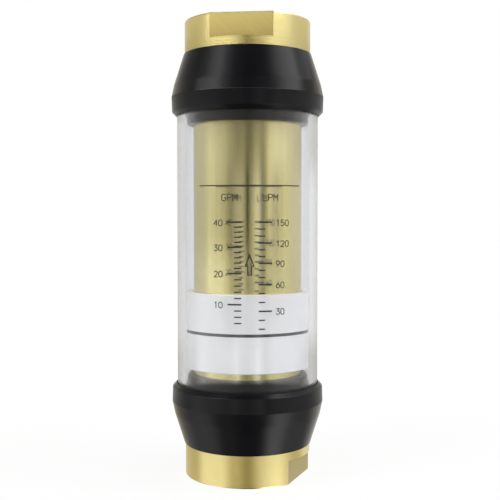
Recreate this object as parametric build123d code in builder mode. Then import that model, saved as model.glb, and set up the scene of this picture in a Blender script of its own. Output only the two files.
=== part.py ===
from build123d import *
from math import sqrt
import os

os.makedirs("parts", exist_ok=True)

# In-line flow monitor with an indicator that a magnet carries.
# The origin is the middle of the inlet port's end face, +Z runs with the flow, and the scale
# faces -Y. All sizes are in millimetres.

# Overall
body_length = 183.0
port_head_length = 12.85
overrun = 1.0

# Brass casing
casing_wall = 2.95
casing_lead_in = 1.0

# End ports
thread_bore_radius = 14.7
thread_depth = 20.0
thread_entry = 1.5
throat_step = 2.1
throat_taper = 1.2
spigot_wall = 4.3
spigot_clearance = 0.05
spigot_chamfer = 1.2
relief_width = 1.6
relief_depth = 0.6
edge_chamfer = 0.5
flats_across = 44.45
flats_depth = 9.5
inlet_flats_turn = 67.6
outlet_flats_turn = -6.0

# Seals on the spigots
groove_depth = 2.15
groove_land = 5.3
o_ring_section = 2.6
backup_width = 1.5
seal_clearance = 0.02

# Guard seals
seal_length = 24.45
seal_end_wall = 3.4
seal_band_wall = 2.2
seal_band_from_end = 17.2
seal_band_draft = 0.175
seal_mouth_chamfer = 1.55
seal_lip = 0.2
seal_groove_depth = 10.3
seal_groove_slack = 0.3
seal_leg_wall = 2.6
seal_leg_reach = 4.1
seal_leg_rounding = 0.7
seal_bore_slack = 0.04
seal_shoulder_rise = 1.1
window_slack = 0.15

# Window
window_wall = 3.175
window_edge_chamfer = 0.4

# Indicator ring, from the casing outwards
indicator_length = 30.4
indicator_rest_gap = 3.15
indicator_slack = 0.25
indicator_wall = 2.65
indicator_skin = 0.65
indicator_magnet_length = 20.0
indicator_magnet_slack = 0.05
indicator_gap = 0.5
indicator_edge = 0.3
reading_line_width = 1.1
reading_line_depth = 0.12
reading_line_drop = 0.35

# Spider plates and what holds them
spider_thickness = 2.0
spider_slack = 0.1
spider_hub_radius = 6.2
spider_slot_step = 0.2
spider_slot_corner = 1.0
spider_slots = 4
spider_arm_width = 3.4
ring_thickness = 1.2
ring_groove_depth = 1.0
ring_land = 1.75
ring_opening = 26.0
ring_slack = 0.05

# Piston
piston_rest_gap = 0.3
piston_slack = 0.75
guide_slack = 0.12
flange_length = 6.2
sleeve_wall = 2.0
guide_length = 4.2
magnet_length = 22.0
magnet_slack = 0.06
magnet_wall = 3.5
magnet_step = 0.2
nut_length = 4.6
nut_recess = 0.9
seat_slack = 0.1
nut_slots = 4
nut_slot_width = 2.4
nut_slot_depth = 1.8
sleeve_stand = 0.5

# Orifice
orifice_step = 3.04
orifice_land = 0.4
disk_thickness = 1.6
flange_wall = 2.74
disk_slack = 0.06
disk_lip = 1.3
disk_ring_thickness = 1.0
disk_ring_depth = 0.8
disk_ring_land = 1.1

# Metering cone
cone_clearance = 0.3
stem_radius = 3.6
stud_radius = 2.95
stud_slack = 0.05
stud_chamfer = 0.5
nut_across = 10.0
cone_nut_height = 5.0
lock_washer_radius = 5.4
lock_washer_thickness = 1.3
lock_washer_split = 1.0
full_travel = 48.0
cone_stations = 7

# Return spring
wire = 1.9
spring_side_gap = 2.0
active_turns = 8
coil_gap = 0.04

# Places along the axis: the seal gives the indicator its place at rest, the indicator gives it to
# the piston's magnet, and the piston gives it to the stop, the spider plate and the spigot
mouth = port_head_length + seal_length
groove_floor = mouth - seal_groove_depth
seal_top = mouth + seal_leg_reach
indicator_base = seal_top + indicator_rest_gap
indicator_end = indicator_base + indicator_length
magnet_middle = indicator_base + indicator_length / 2
magnet_base = magnet_middle - magnet_length / 2
magnet_end = magnet_base + magnet_length
flange_face = magnet_base - guide_length
piston_base = flange_face - flange_length
ring_face = piston_base - piston_rest_gap
spider_face = ring_face - ring_thickness
spigot_end = spider_face - spider_thickness
orifice_edge = piston_base + disk_lip + disk_ring_thickness + ring_slack
disk_face = orifice_edge + disk_thickness
piston_nut_base = magnet_end + guide_length
piston_nut_end = piston_nut_base + nut_length
spring_seat = piston_nut_end - nut_recess
spring_stop = body_length - spider_face
casing_end = body_length - port_head_length
middle = Plane.XY.offset(body_length / 2)

# Radii, from the port's thread outwards and from the casing's bore inwards
throat_radius = thread_bore_radius - throat_step
spigot_radius = thread_bore_radius + spigot_wall
casing_bore = spigot_radius + spigot_clearance
casing_radius = casing_bore + casing_wall
port_radius = casing_radius + seal_end_wall
indicator_bore = casing_radius + indicator_slack
indicator_radius = indicator_bore + indicator_wall
window_bore = indicator_radius + indicator_gap
window_radius = window_bore + window_wall
seal_radius = window_radius + seal_band_wall
seal_bore = casing_radius + seal_bore_slack
seal_leg_radius = casing_radius + seal_leg_wall
groove_wall = window_radius + window_slack
piston_radius = casing_bore - piston_slack
guide_radius = casing_bore - guide_slack
magnet_radius = piston_radius - magnet_step
seat_radius = magnet_radius - magnet_wall
sleeve_radius = seat_radius - magnet_slack
sleeve_bore = sleeve_radius - sleeve_wall
recess_radius = piston_radius - flange_wall
disk_radius = recess_radius - disk_slack
orifice_radius = sleeve_bore - orifice_step
cone_radius = orifice_radius - cone_clearance
spring_radius = casing_bore - spring_side_gap - wire / 2

# Seal groove on the spigots, as wide as the pressed O-ring and its back-up ring need
gland = casing_bore - spigot_radius + groove_depth
squeezed_half = gland / 2 - seal_clearance
oval_half = o_ring_section**2 / (4 * squeezed_half)
groove_end = spigot_end - groove_land
backup_end = groove_end - 2 * oval_half - 2 * seal_clearance
groove_start = backup_end - backup_width - seal_clearance


def open_area_radius(travel):
    """Cone radius that opens the orifice in equal steps of area over the full travel."""
    closed = orifice_radius**2 - cone_radius**2
    opened = orifice_radius**2 - stem_radius**2
    return sqrt(orifice_radius**2 - closed - (opened - closed) * travel / full_travel)


def snap_ring(outer, land, face, thickness, opening):
    """Flat ring with a gap and rounded tips, standing on the plane at height face."""
    with BuildPart() as ring:
        with BuildSketch(Plane.XY.offset(face)):
            with BuildLine():
                inner = outer - land
                tip = land / 2
                start = opening / 2
                CenterArc((0, 0), outer, start, 360 - opening)
                CenterArc((0, 0), inner, start, 360 - opening)
                centre_radius = outer - tip
                for side, turn in ((start, -180), (-start, 180)):
                    tip_centre = Vector(centre_radius, 0).rotate(Axis.Z, side)
                    CenterArc((tip_centre.X, tip_centre.Y), tip, side, turn)
            make_face()
        extrude(amount=thickness)
    return ring


# Turned blank for both end ports: head, thread relief, spigot with its seal groove, thread bore
# and throat.
with BuildPart() as port_blank:
    with BuildSketch(Plane.XZ):
        with BuildLine():
            throat_start = thread_depth + throat_taper
            Polyline(
                (thread_bore_radius + thread_entry, 0),
                (port_radius - edge_chamfer, 0),
                (port_radius, edge_chamfer),
                (port_radius, port_head_length),
                (spigot_radius - relief_depth, port_head_length),
                (spigot_radius - relief_depth, port_head_length + relief_width),
                (spigot_radius, port_head_length + relief_width + relief_depth),
                (spigot_radius, groove_start),
                (spigot_radius - groove_depth, groove_start),
                (spigot_radius - groove_depth, groove_end),
                (spigot_radius, groove_end),
                (spigot_radius, spigot_end - spigot_chamfer),
                (spigot_radius - spigot_chamfer / 2, spigot_end),
                (throat_radius, spigot_end),
                (throat_radius, throat_start),
                (thread_bore_radius, thread_depth),
                (thread_bore_radius, thread_entry),
                close=True,
            )
        make_face()
    revolve(axis=Axis.Z)

# Inlet port: two wrench flats cut from the end face.
with BuildPart() as inlet_port:
    add(port_blank.part)
    with BuildSketch():
        Circle(port_radius + overrun)
        Rectangle(3 * port_radius, flats_across, rotation=inlet_flats_turn, mode=Mode.SUBTRACT)
    extrude(amount=flats_depth, mode=Mode.SUBTRACT)
inlet_port.part.label = "inlet_port"
export_step(inlet_port.part, "parts/inlet_port.step")

# Outlet port: the same blank the other way up, its flats where the thread left them.
with BuildPart() as outlet_port:
    mirror(port_blank.part, about=middle)
    with BuildSketch(Plane.XY.offset(body_length)):
        Circle(port_radius + overrun)
        Rectangle(3 * port_radius, flats_across, rotation=outlet_flats_turn, mode=Mode.SUBTRACT)
    extrude(amount=-flats_depth, mode=Mode.SUBTRACT)
outlet_port.part.label = "outlet_port"
export_step(outlet_port.part, "parts/outlet_port.step")

# O-ring, pressed oval between the groove's floor and the casing.
with BuildPart() as inlet_o_ring:
    with BuildSketch(Plane.XZ):
        with Locations((casing_bore - gland / 2, backup_end + seal_clearance + oval_half)):
            Ellipse(squeezed_half, oval_half)
    revolve(axis=Axis.Z)
inlet_o_ring.part.label = "inlet_o_ring"
export_step(inlet_o_ring.part, "parts/inlet_o_ring.step")

with BuildPart() as outlet_o_ring:
    mirror(inlet_o_ring.part, about=middle)
outlet_o_ring.part.label = "outlet_o_ring"
export_step(outlet_o_ring.part, "parts/outlet_o_ring.step")

# Back-up ring: flat PTFE ring on the side away from the pressure.
with BuildPart() as inlet_backup_ring:
    with BuildSketch(Plane.XY.offset(groove_start + seal_clearance)):
        Circle(casing_bore - seal_clearance)
        Circle(casing_bore - gland + seal_clearance, mode=Mode.SUBTRACT)
    extrude(amount=backup_width)
inlet_backup_ring.part.label = "inlet_backup_ring"
export_step(inlet_backup_ring.part, "parts/inlet_backup_ring.step")

with BuildPart() as outlet_backup_ring:
    mirror(inlet_backup_ring.part, about=middle)
outlet_backup_ring.part.label = "outlet_backup_ring"
export_step(outlet_backup_ring.part, "parts/outlet_backup_ring.step")

# Casing: drawn brass tube with a lead-in and a snap ring groove at each end.
with BuildPart() as casing:
    with BuildSketch(Plane.XY.offset(port_head_length)):
        Circle(casing_radius)
        Circle(casing_bore, mode=Mode.SUBTRACT)
    extrude(amount=casing_end - port_head_length)
    bore_rims = casing.edges().filter_by(GeomType.CIRCLE).sort_by(SortBy.RADIUS)[:2]
    chamfer(bore_rims, casing_lead_in, casing_lead_in / 2)
    for groove_base in (spider_face, spring_stop - ring_thickness):
        with BuildSketch(Plane.XY.offset(groove_base)):
            Circle(casing_bore + ring_groove_depth)
            Circle(casing_bore - overrun, mode=Mode.SUBTRACT)
        extrude(amount=ring_thickness, mode=Mode.SUBTRACT)
casing.part.label = "casing"
export_step(casing.part, "parts/casing.step")

# Guard seal: one rubber moulding. Its outer leg and inner leg make the groove for the window,
# the inner leg fills the window's bore up to a shoulder, and its end is the indicator's bumper.
with BuildPart() as lower_guard_seal:
    with BuildSketch(Plane.XZ):
        with BuildLine():
            band_start = port_head_length + seal_band_from_end
            band_end = mouth - seal_mouth_chamfer
            mouth_radius = seal_radius - seal_band_draft
            shoulder_radius = window_bore - window_slack
            shoulder = mouth + seal_shoulder_rise
            Polyline(
                (seal_leg_radius - seal_leg_rounding, seal_top),
                (seal_bore, seal_top),
                (seal_bore, port_head_length),
                (port_radius, port_head_length),
                (seal_radius, band_start),
                (mouth_radius, band_end),
                (mouth_radius - seal_mouth_chamfer, mouth),
                (groove_wall + seal_lip, mouth),
                (groove_wall, mouth - seal_lip),
                (groove_wall, groove_floor),
                (shoulder_radius, groove_floor),
                (shoulder_radius, shoulder),
                (seal_leg_radius, shoulder),
                (seal_leg_radius, seal_top - seal_leg_rounding),
            )
            RadiusArc(
                (seal_leg_radius, seal_top - seal_leg_rounding),
                (seal_leg_radius - seal_leg_rounding, seal_top),
                -seal_leg_rounding,
            )
        make_face()
    revolve(axis=Axis.Z)
lower_guard_seal.part.label = "lower_guard_seal"
export_step(lower_guard_seal.part, "parts/lower_guard_seal.step")

with BuildPart() as upper_guard_seal:
    mirror(lower_guard_seal.part, about=middle)
upper_guard_seal.part.label = "upper_guard_seal"
export_step(upper_guard_seal.part, "parts/upper_guard_seal.step")

# Window: clear tube between the floors of the two grooves.
with BuildPart() as window_tube:
    window_base = groove_floor + seal_groove_slack
    with BuildSketch(Plane.XY.offset(window_base)):
        Circle(window_radius)
        Circle(window_bore, mode=Mode.SUBTRACT)
    extrude(amount=body_length - 2 * window_base)
    chamfer(window_tube.edges().filter_by(GeomType.CIRCLE), window_edge_chamfer)
window_tube.part.label = "window_tube"
export_step(window_tube.part, "parts/window_tube.step")

# Indicator shell: white ring with a pocket for its magnet and a shallow groove for the line.
with BuildPart() as indicator_shell:
    with BuildSketch(Plane.XZ):
        with BuildLine():
            line_middle = magnet_middle - reading_line_drop
            line_base = line_middle - reading_line_width / 2
            line_end = line_middle + reading_line_width / 2
            pocket_base = magnet_middle - indicator_magnet_length / 2
            Polyline(
                (indicator_bore, indicator_base),
                (indicator_radius - indicator_edge, indicator_base),
                (indicator_radius, indicator_base + indicator_edge),
                (indicator_radius, line_base),
                (indicator_radius - reading_line_depth, line_base),
                (indicator_radius - reading_line_depth, line_end),
                (indicator_radius, line_end),
                (indicator_radius, indicator_end - indicator_edge),
                (indicator_radius - indicator_edge, indicator_end),
                (indicator_radius - indicator_skin, indicator_end),
                (indicator_radius - indicator_skin, pocket_base),
                (indicator_bore + indicator_skin, pocket_base),
                (indicator_bore + indicator_skin, indicator_end),
                (indicator_bore, indicator_end),
                close=True,
            )
        make_face()
    revolve(axis=Axis.Z)
indicator_shell.part.label = "indicator_shell"
export_step(indicator_shell.part, "parts/indicator_shell.step")

# Indicator magnet: thin ring at the bottom of the pocket.
with BuildPart() as indicator_magnet:
    with BuildSketch(Plane.XY.offset(pocket_base)):
        Circle(indicator_radius - indicator_skin - indicator_magnet_slack)
        Circle(indicator_bore + indicator_skin + indicator_magnet_slack, mode=Mode.SUBTRACT)
    extrude(amount=indicator_magnet_length)
indicator_magnet.part.label = "indicator_magnet"
export_step(indicator_magnet.part, "parts/indicator_magnet.step")

# Indicator cap: ring that fills the pocket above the magnet.
with BuildPart() as indicator_cap:
    with BuildSketch(Plane.XY.offset(pocket_base + indicator_magnet_length)):
        Circle(indicator_radius - indicator_skin - indicator_magnet_slack)
        Circle(indicator_bore + indicator_skin + indicator_magnet_slack, mode=Mode.SUBTRACT)
    extrude(amount=indicator_end - pocket_base - indicator_magnet_length)
indicator_cap.part.label = "indicator_cap"
export_step(indicator_cap.part, "parts/indicator_cap.step")

# Spider plate: steel disk with a hub hole for the cone's stud and kidney slots for the flow.
with BuildPart() as inlet_spider:
    with BuildSketch(Plane.XY.offset(spigot_end)):
        Circle(casing_bore - spider_slack)
        Circle(stud_radius + stud_slack, mode=Mode.SUBTRACT)
    extrude(amount=spider_thickness)
    with BuildSketch(Plane.XY.offset(spigot_end)) as kidney_slots:
        Circle(throat_radius - spider_slot_step)
        Circle(spider_hub_radius, mode=Mode.SUBTRACT)
        with PolarLocations(0, spider_slots // 2, angular_range=180):
            Rectangle(3 * throat_radius, spider_arm_width, mode=Mode.SUBTRACT)
        fillet(kidney_slots.vertices(), spider_slot_corner)
    extrude(amount=spider_thickness, mode=Mode.SUBTRACT)
inlet_spider.part.label = "inlet_spider"
export_step(inlet_spider.part, "parts/inlet_spider.step")

with BuildPart() as outlet_spider:
    mirror(inlet_spider.part, about=middle)
outlet_spider.part.label = "outlet_spider"
export_step(outlet_spider.part, "parts/outlet_spider.step")

# Snap rings that trap the spider plates against the spigots.
inlet_retaining_ring = snap_ring(
    casing_bore + ring_groove_depth - ring_slack,
    ring_land + ring_groove_depth,
    spider_face,
    ring_thickness,
    ring_opening,
)
inlet_retaining_ring.part.label = "inlet_retaining_ring"
export_step(inlet_retaining_ring.part, "parts/inlet_retaining_ring.step")

with BuildPart() as outlet_retaining_ring:
    mirror(inlet_retaining_ring.part, about=middle)
outlet_retaining_ring.part.label = "outlet_retaining_ring"
export_step(outlet_retaining_ring.part, "parts/outlet_retaining_ring.step")

# Metering cone: a rounded nose, the contour that meters the flow, a stem, and a stud each end.
with BuildPart() as metering_cone:
    with BuildSketch(Plane.XZ):
        with BuildLine():
            inlet_stud_end = spigot_end - lock_washer_thickness - cone_nut_height - 1.5 * stud_chamfer
            outlet_stud_end = body_length - inlet_stud_end
            stations = [full_travel * i / (cone_stations - 1) for i in range(cone_stations)]
            contour = [(open_area_radius(travel), orifice_edge + travel) for travel in stations]
            Polyline(
                (0, outlet_stud_end),
                (0, inlet_stud_end),
                (stud_radius - stud_chamfer, inlet_stud_end),
                (stud_radius, inlet_stud_end + stud_chamfer),
                (stud_radius, spider_face),
                (spider_hub_radius - stud_slack, spider_face),
            )
            ThreePointArc(
                (spider_hub_radius - stud_slack, spider_face),
                (0.25 * spider_hub_radius + 0.75 * cone_radius, 0.6 * spider_face + 0.4 * orifice_edge),
                (cone_radius, orifice_edge),
            )
            Spline(*contour)
            Polyline(
                contour[-1],
                (stem_radius, spring_stop),
                (stud_radius, spring_stop),
                (stud_radius, outlet_stud_end - stud_chamfer),
                (stud_radius - stud_chamfer, outlet_stud_end),
                (0, outlet_stud_end),
            )
        make_face()
    revolve(axis=Axis.Z)
metering_cone.part.label = "metering_cone"
export_step(metering_cone.part, "parts/metering_cone.step")

# Lock washer: square-section spring washer with a split.
with BuildPart() as inlet_lock_washer:
    with BuildSketch(Plane.XY.offset(spigot_end - lock_washer_thickness)):
        Circle(lock_washer_radius)
        Circle(stud_radius + stud_slack, mode=Mode.SUBTRACT)
        with Locations((lock_washer_radius, 0)):
            Rectangle(2 * lock_washer_radius, lock_washer_split, mode=Mode.SUBTRACT)
    extrude(amount=lock_washer_thickness)
inlet_lock_washer.part.label = "inlet_lock_washer"
export_step(inlet_lock_washer.part, "parts/inlet_lock_washer.step")

with BuildPart() as outlet_lock_washer:
    mirror(inlet_lock_washer.part, about=middle)
outlet_lock_washer.part.label = "outlet_lock_washer"
export_step(outlet_lock_washer.part, "parts/outlet_lock_washer.step")

# Cone nut: hexagon with both faces turned off at the corners.
with BuildPart() as inlet_cone_nut:
    with BuildSketch(Plane.XY.offset(spigot_end - lock_washer_thickness - cone_nut_height)):
        RegularPolygon(nut_across / 2, 6, major_radius=False)
        Circle(stud_radius + stud_slack, mode=Mode.SUBTRACT)
    extrude(amount=cone_nut_height)
    with BuildSketch(Plane.XZ):
        with BuildLine():
            nut_face = spigot_end - lock_washer_thickness
            corner = nut_across / sqrt(3)
            Polyline(
                (0, nut_face),
                (0, nut_face - cone_nut_height),
                (nut_across / 2, nut_face - cone_nut_height),
                (corner, nut_face - cone_nut_height + (corner - nut_across / 2) / sqrt(3)),
                (corner, nut_face - (corner - nut_across / 2) / sqrt(3)),
                (nut_across / 2, nut_face),
                close=True,
            )
        make_face()
    revolve(axis=Axis.Z, mode=Mode.INTERSECT)
inlet_cone_nut.part.label = "inlet_cone_nut"
export_step(inlet_cone_nut.part, "parts/inlet_cone_nut.step")

with BuildPart() as outlet_cone_nut:
    mirror(inlet_cone_nut.part, about=middle)
outlet_cone_nut.part.label = "outlet_cone_nut"
export_step(outlet_cone_nut.part, "parts/outlet_cone_nut.step")

# Piston body: flange with the recess for the orifice disk, and the sleeve for the magnet.
with BuildPart() as piston_body:
    with BuildSketch(Plane.XZ):
        with BuildLine():
            ring_base = piston_base + disk_lip
            sleeve_end = spring_seat + sleeve_stand
            Polyline(
                (recess_radius, piston_base),
                (piston_radius - edge_chamfer, piston_base),
                (piston_radius, piston_base + edge_chamfer),
                (piston_radius, flange_face),
                (sleeve_radius, flange_face),
                (sleeve_radius, sleeve_end),
                (sleeve_bore, sleeve_end),
                (sleeve_bore, disk_face),
                (recess_radius, disk_face),
                (recess_radius, orifice_edge),
                (recess_radius + disk_ring_depth, orifice_edge),
                (recess_radius + disk_ring_depth, ring_base),
                (recess_radius, ring_base),
                close=True,
            )
        make_face()
    revolve(axis=Axis.Z)
piston_body.part.label = "piston_body"
export_step(piston_body.part, "parts/piston_body.step")

# Orifice disk: a sharp edge with a short land, relieved on the downstream side.
with BuildPart() as orifice_disk:
    with BuildSketch(Plane.XZ):
        with BuildLine():
            relief = disk_thickness - orifice_land
            Polyline(
                (orifice_radius, orifice_edge),
                (disk_radius, orifice_edge),
                (disk_radius, disk_face),
                (orifice_radius + relief, disk_face),
                (orifice_radius, orifice_edge + orifice_land),
                close=True,
            )
        make_face()
    revolve(axis=Axis.Z)
orifice_disk.part.label = "orifice_disk"
export_step(orifice_disk.part, "parts/orifice_disk.step")

orifice_retaining_ring = snap_ring(
    recess_radius + disk_ring_depth - ring_slack,
    disk_ring_land + disk_ring_depth,
    ring_base + ring_slack,
    disk_ring_thickness,
    ring_opening,
)
orifice_retaining_ring.part.label = "orifice_retaining_ring"
export_step(orifice_retaining_ring.part, "parts/orifice_retaining_ring.step")

# Guide rings: PTFE, one each side of the magnet.
with BuildPart() as lower_guide_ring:
    with BuildSketch(Plane.XY.offset(flange_face)):
        Circle(guide_radius)
        Circle(seat_radius, mode=Mode.SUBTRACT)
    extrude(amount=guide_length)
    rims = lower_guide_ring.edges().filter_by(GeomType.CIRCLE).sort_by(SortBy.RADIUS)[-2:]
    chamfer(rims, edge_chamfer)
lower_guide_ring.part.label = "lower_guide_ring"
export_step(lower_guide_ring.part, "parts/lower_guide_ring.step")

with BuildPart() as upper_guide_ring:
    mirror(lower_guide_ring.part, about=Plane.XY.offset(magnet_middle))
upper_guide_ring.part.label = "upper_guide_ring"
export_step(upper_guide_ring.part, "parts/upper_guide_ring.step")

# Transfer magnet: coated ring on the sleeve.
with BuildPart() as transfer_magnet:
    with BuildSketch(Plane.XY.offset(magnet_base)):
        Circle(magnet_radius)
        Circle(seat_radius, mode=Mode.SUBTRACT)
    extrude(amount=magnet_length)
transfer_magnet.part.label = "transfer_magnet"
export_step(transfer_magnet.part, "parts/transfer_magnet.step")

# Piston nut: ring nut with a shallow seat for the spring and slots for a pin wrench.
with BuildPart() as piston_nut:
    with BuildSketch(Plane.XY.offset(piston_nut_base)):
        Circle(piston_radius)
        Circle(seat_radius, mode=Mode.SUBTRACT)
    extrude(amount=nut_length)
    with BuildSketch(Plane.XY.offset(spring_seat)):
        Circle(spring_radius + wire / 2 + seat_slack)
    extrude(amount=nut_recess, mode=Mode.SUBTRACT)
    with BuildSketch(Plane.XY.offset(piston_nut_base + nut_slot_depth)):
        with PolarLocations(piston_radius, nut_slots):
            Rectangle(nut_slot_width, nut_slot_width)
    extrude(amount=nut_length, mode=Mode.SUBTRACT)
    foot = piston_nut.edges().filter_by(GeomType.CIRCLE).group_by(Axis.Z)[0].sort_by(SortBy.RADIUS)[-1]
    chamfer(foot, edge_chamfer)
piston_nut.part.label = "piston_nut"
export_step(piston_nut.part, "parts/piston_nut.step")

# Return spring: a closed coil at each end, ground flat, and open coils between them.
with BuildPart() as return_spring:
    closed_pitch = wire + coil_gap
    low_start = spring_seat - wire / 4
    high_start = spring_stop + wire / 4 - closed_pitch
    open_height = high_start - low_start - closed_pitch
    with BuildLine() as spring_line:
        Helix(closed_pitch, closed_pitch, spring_radius, center=(0, 0, low_start))
        Helix(open_height / active_turns, open_height, spring_radius, center=(0, 0, low_start + closed_pitch))
        Helix(closed_pitch, closed_pitch, spring_radius, center=(0, 0, high_start))
    with BuildSketch(spring_line.line ^ 0):
        Circle(wire / 2)
    sweep(path=spring_line.line, is_frenet=True)
    with BuildSketch(Plane.XY.offset(spring_seat)):
        Circle(2 * spring_radius)
    extrude(amount=spring_stop - spring_seat, mode=Mode.INTERSECT)
return_spring.part.label = "return_spring"
export_step(return_spring.part, "parts/return_spring.step")
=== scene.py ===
import bpy
import numpy as np
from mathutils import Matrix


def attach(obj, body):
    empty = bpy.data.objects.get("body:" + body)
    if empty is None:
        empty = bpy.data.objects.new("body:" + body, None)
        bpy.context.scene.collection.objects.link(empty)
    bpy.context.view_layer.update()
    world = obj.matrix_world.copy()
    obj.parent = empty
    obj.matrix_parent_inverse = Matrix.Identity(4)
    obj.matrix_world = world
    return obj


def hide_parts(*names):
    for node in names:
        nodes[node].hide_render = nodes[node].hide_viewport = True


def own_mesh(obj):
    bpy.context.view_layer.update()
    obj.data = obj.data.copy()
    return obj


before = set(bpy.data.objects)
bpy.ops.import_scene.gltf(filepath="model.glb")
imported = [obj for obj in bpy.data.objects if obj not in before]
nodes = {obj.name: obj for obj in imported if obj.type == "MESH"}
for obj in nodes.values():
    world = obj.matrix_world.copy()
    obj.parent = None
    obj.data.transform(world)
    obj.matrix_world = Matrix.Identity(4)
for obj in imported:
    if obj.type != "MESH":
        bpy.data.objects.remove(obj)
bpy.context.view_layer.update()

# ---------------------------------------------------------------------------------- casing
# The pressure wall of the meter: a drawn tube of free-cutting brass, polished along its
# length, that sits on the shoulders of the two end ports. Inside it has a lead-in at each
# end and two grooves for the snap rings.
MM = 0.001
body_length = 183.0
casing_radius = 22.0
casing_bore = 19.05
casing_base = 12.85
casing_end = body_length - casing_base
snap_groove_radius = 20.05
snap_groove_base = 36.85
snap_groove_width = 1.2
lead_in_width, lead_in_length = 0.5, 1.0
casing_edge = 0.06
round_steps = 256
support_reach, support_share = 0.08, 0.015


def rounded(corners, radii, steps=6):
    """A closed outline whose corners are arcs. Each arc touches both sides of its corner, its
    centre lies on the corner's bisector at radius / sin(half the corner's angle), and its
    points turn by equal angles from one tangent point to the other. One more point lies on
    each side just past the arc, so that the side's shading stays straight."""
    corners = np.asarray(corners, float)
    radii = np.broadcast_to(np.asarray(radii, float), len(corners))
    back = np.roll(corners, 1, 0) - corners
    ahead = np.roll(corners, -1, 0) - corners
    back_length = np.linalg.norm(back, axis=1)
    ahead_length = np.linalg.norm(ahead, axis=1)
    back /= back_length[:, None]
    ahead /= ahead_length[:, None]
    half = 0.5 * np.arccos(np.clip((back * ahead).sum(1), -1, 1))
    reach = np.minimum(radii / np.tan(half), 0.48 * np.minimum(back_length, ahead_length))
    radii = reach * np.tan(half)
    bisector = back + ahead
    bisector /= np.linalg.norm(bisector, axis=1)[:, None]
    centre = corners + bisector * (radii / np.sin(half))[:, None]
    start = corners + back * reach[:, None] - centre
    end = corners + ahead * reach[:, None] - centre
    sweep = (np.pi - 2 * half)[:, None]
    share = np.linspace(0, 1, steps + 1)[None, :]
    towards_start = np.sin((1 - share) * sweep) / np.sin(sweep)
    towards_end = np.sin(share * sweep) / np.sin(sweep)
    arcs = centre[:, None] + towards_start[..., None] * start[:, None] \
        + towards_end[..., None] * end[:, None]
    before_reach = reach + np.minimum(support_reach, support_share * back_length)
    after_reach = reach + np.minimum(support_reach, support_share * ahead_length)
    before = corners + back * before_reach[:, None]
    after = corners + ahead * after_reach[:, None]
    return np.concatenate([before[:, None], arcs, after[:, None]], 1).reshape(-1, 2)


def turned(section, angles):
    """A section (r, z) in mm turned about the Z axis: x = r sin a, y = -r cos a, so that angle
    0 faces the scale's side and angles run to the right. Rows are angles, columns the section."""
    r, z = np.asarray(section, float).T
    a = np.asarray(angles, float)[:, None]
    return np.stack([r * np.sin(a), -r * np.cos(a), z + 0 * a], -1)


def full_turn(steps=round_steps):
    """Equal angles once round, the last one step short of the first."""
    return np.linspace(0, 2 * np.pi, steps, endpoint=False)


def skin(name, grids, material, rings=True, sharp=30.0):
    """A mesh from grids of points in mm, each (rows, columns, 3). Columns always close into a
    loop. Rows close too where rings is true, and otherwise the first and last rows are capped.
    A cell's face is wound so that (step along rows) x (step along columns) points outwards."""
    points, faces, first = [], [], 0
    for grid in grids:
        rows, columns = grid.shape[:2]
        number = np.arange(rows * columns).reshape(rows, columns) + first
        loop = np.hstack([number, number[:, :1]])
        if rings:
            loop = np.vstack([loop, loop[:1]])
        else:
            faces += [number[0].tolist(), number[-1, ::-1].tolist()]
        faces += np.stack([loop[:-1, :-1], loop[1:, :-1], loop[1:, 1:], loop[:-1, 1:]],
                          -1).reshape(-1, 4).tolist()
        points.append(grid.reshape(-1, 3) * MM)
        first += rows * columns
    mesh = bpy.data.meshes.new(name)
    mesh.from_pydata(np.concatenate(points).tolist(), [], faces)
    mesh.polygons.foreach_set("use_smooth", np.ones(len(mesh.polygons), bool))
    mesh.set_sharp_from_angle(angle=np.radians(sharp))
    mesh.materials.append(material)
    piece = bpy.data.objects.new(name, mesh)
    bpy.context.scene.collection.objects.link(piece)
    return piece


def linear(hex_colour, alpha=1.0):
    """An sRGB hex colour as the linear colour that Blender's sockets take."""
    value = np.array([int(hex_colour[i:i + 2], 16) for i in (1, 3, 5)]) / 255
    value = np.where(value <= 0.04045, value / 12.92, ((value + 0.055) / 1.055) ** 2.4)
    return (*value.tolist(), alpha)


def add_node(tree, kind, sockets=None, links=None, **settings):
    """Adds one node: settings are its own, sockets the values of its inputs, and links the
    outputs that feed its inputs."""
    node = tree.nodes.new(kind)
    for key, value in settings.items():
        setattr(node, key, value)
    for key, value in (sockets or {}).items():
        node.inputs[key].default_value = value
    for key, source in (links or {}).items():
        tree.links.new(source, node.inputs[key])
    return node


def new_material(name):
    """An empty node material and its tree."""
    material = bpy.data.materials.new(name)
    material.use_nodes = True
    material.node_tree.nodes.clear()
    return material, material.node_tree


# Drawn brass, polished: bright yellow metal, with streaks along the tube about 2 mm wide
# and 80 mm long where the belt passed, and a few fainter, finer ones.
drawn_brass, tree = new_material("drawn_polished_brass")
place = add_node(tree, "ShaderNodeTexCoord").outputs["Object"]
streak_place = add_node(tree, "ShaderNodeMapping", {"Scale": (480, 480, 12)},
                        {"Vector": place}).outputs[0]
streaks = add_node(tree, "ShaderNodeTexNoise", {"Scale": 1.0, "Detail": 5.0, "Roughness": 0.62},
                   {"Vector": streak_place}).outputs["Fac"]
streak_colour = add_node(tree, "ShaderNodeMix", {6: linear("#CFC077"), 7: linear("#EAE09C")},
                         {0: streaks}, data_type="RGBA").outputs[2]
streak_roughness = add_node(tree, "ShaderNodeMapRange",
                            {"From Min": 0.3, "From Max": 0.7, "To Min": 0.09, "To Max": 0.14},
                            {"Value": streaks}).outputs[0]
streak_bump = add_node(tree, "ShaderNodeBump", {"Strength": 0.12, "Distance": 0.00004},
                       {"Height": streaks}).outputs[0]
metal = add_node(tree, "ShaderNodeBsdfPrincipled", {"Metallic": 1.0},
                 {"Base Color": streak_colour, "Roughness": streak_roughness,
                  "Normal": streak_bump})
add_node(tree, "ShaderNodeOutputMaterial", links={"Surface": metal.outputs[0]})

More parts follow.
